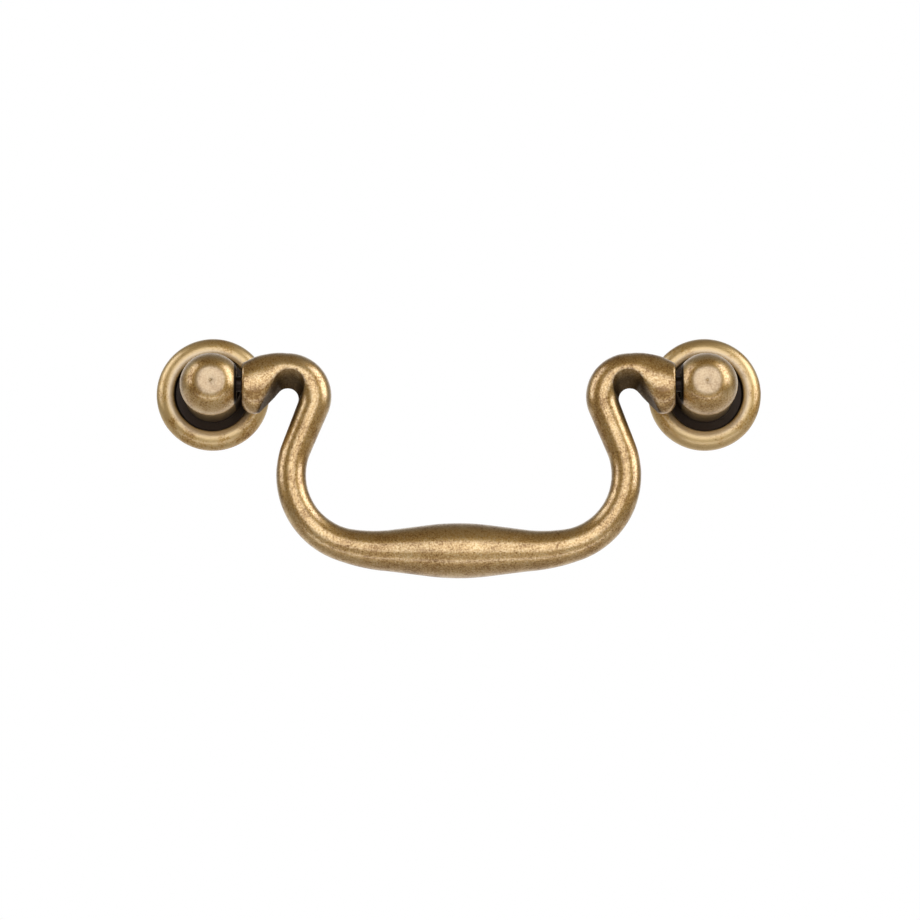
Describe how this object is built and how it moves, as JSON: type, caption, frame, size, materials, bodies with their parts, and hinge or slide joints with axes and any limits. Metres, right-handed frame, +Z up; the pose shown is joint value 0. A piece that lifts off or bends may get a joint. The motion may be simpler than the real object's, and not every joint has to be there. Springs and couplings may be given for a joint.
{
  "type": "bail pull",
  "caption": "Swan-neck bail pull in antiqued brass: a hanging bail with a swelled grip swings on ball-headed posts that stand on round rosettes, for a drawer or cabinet door",
  "frame": {"origin": "midway between the two screw holes, on the plane of the rosettes' backs, which lies on the drawer front", "axes": "+X runs along the line of the two screw holes, +Y points into the drawer front, so the pull faces -Y, and +Z is up with the bail hanging down"},
  "size_m": [0.118, 0.0183, 0.0489],
  "materials": {
    "bail": "antiqued, burnished on the high places",
    "post": "antiqued, burnished on the high places",
    "rosette": "antiqued, dark in the recess"
  },
  "bodies": {
    "base": {"rosette_left": "rosette", "rosette_right": "rosette", "post_left": "post", "post_right": "post"},
    "bail": {"bail": "bail"}
  },
  "joints": [
    {"name": "bail_swing", "type": "hinge", "parent": "base", "child": "bail", "pos_m": [0, -0.013, 0], "axis": [-1, 0, 0], "range_deg": [-13, 193]}
  ]
}
